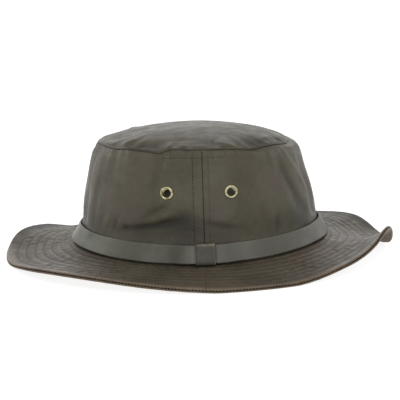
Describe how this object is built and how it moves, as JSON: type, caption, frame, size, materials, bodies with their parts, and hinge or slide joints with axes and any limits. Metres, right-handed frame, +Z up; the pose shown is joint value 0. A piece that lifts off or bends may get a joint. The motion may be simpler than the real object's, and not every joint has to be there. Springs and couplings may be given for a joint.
{
  "type": "leather hat",
  "caption": "Wide-brimmed hat with a domed oval crown, stitched two-ply brim pinched at the front, plain band with keeper loop, and small metal eyelets.",
  "frame": {"origin": "on the surface that the brim rests on, under the middle of the hat", "axes": "+X to the front of the hat, along its length; +Y to the wearer's left; +Z up through the crown"},
  "size_m": [0.3174, 0.2906, 0.1062],
  "materials": {
    "crown_leather": "oiled olive-brown leather, soft sheen, faint mottling and creases",
    "brim_leather": "the same leather in two plies, sewn with rings of matching thread, slightly rubbed",
    "band_leather": "smooth greenish-grey leather, half matt, paler at its edges",
    "eyelet_brass": "pale aged brass, rolled and softly polished"
  },
  "bodies": {
    "root": {"crown_tip": "crown_leather", "crown_front": "crown_leather", "crown_back": "crown_leather", "brim_upper_front": "brim_leather", "brim_upper_back": "brim_leather", "brim_under": "brim_leather", "hat_band": "band_leather", "band_keeper": "band_leather", "eyelet_left_front": "eyelet_brass", "eyelet_left_back": "eyelet_brass", "eyelet_right_front": "eyelet_brass", "eyelet_right_back": "eyelet_brass"}
  },
  "joints": []
}
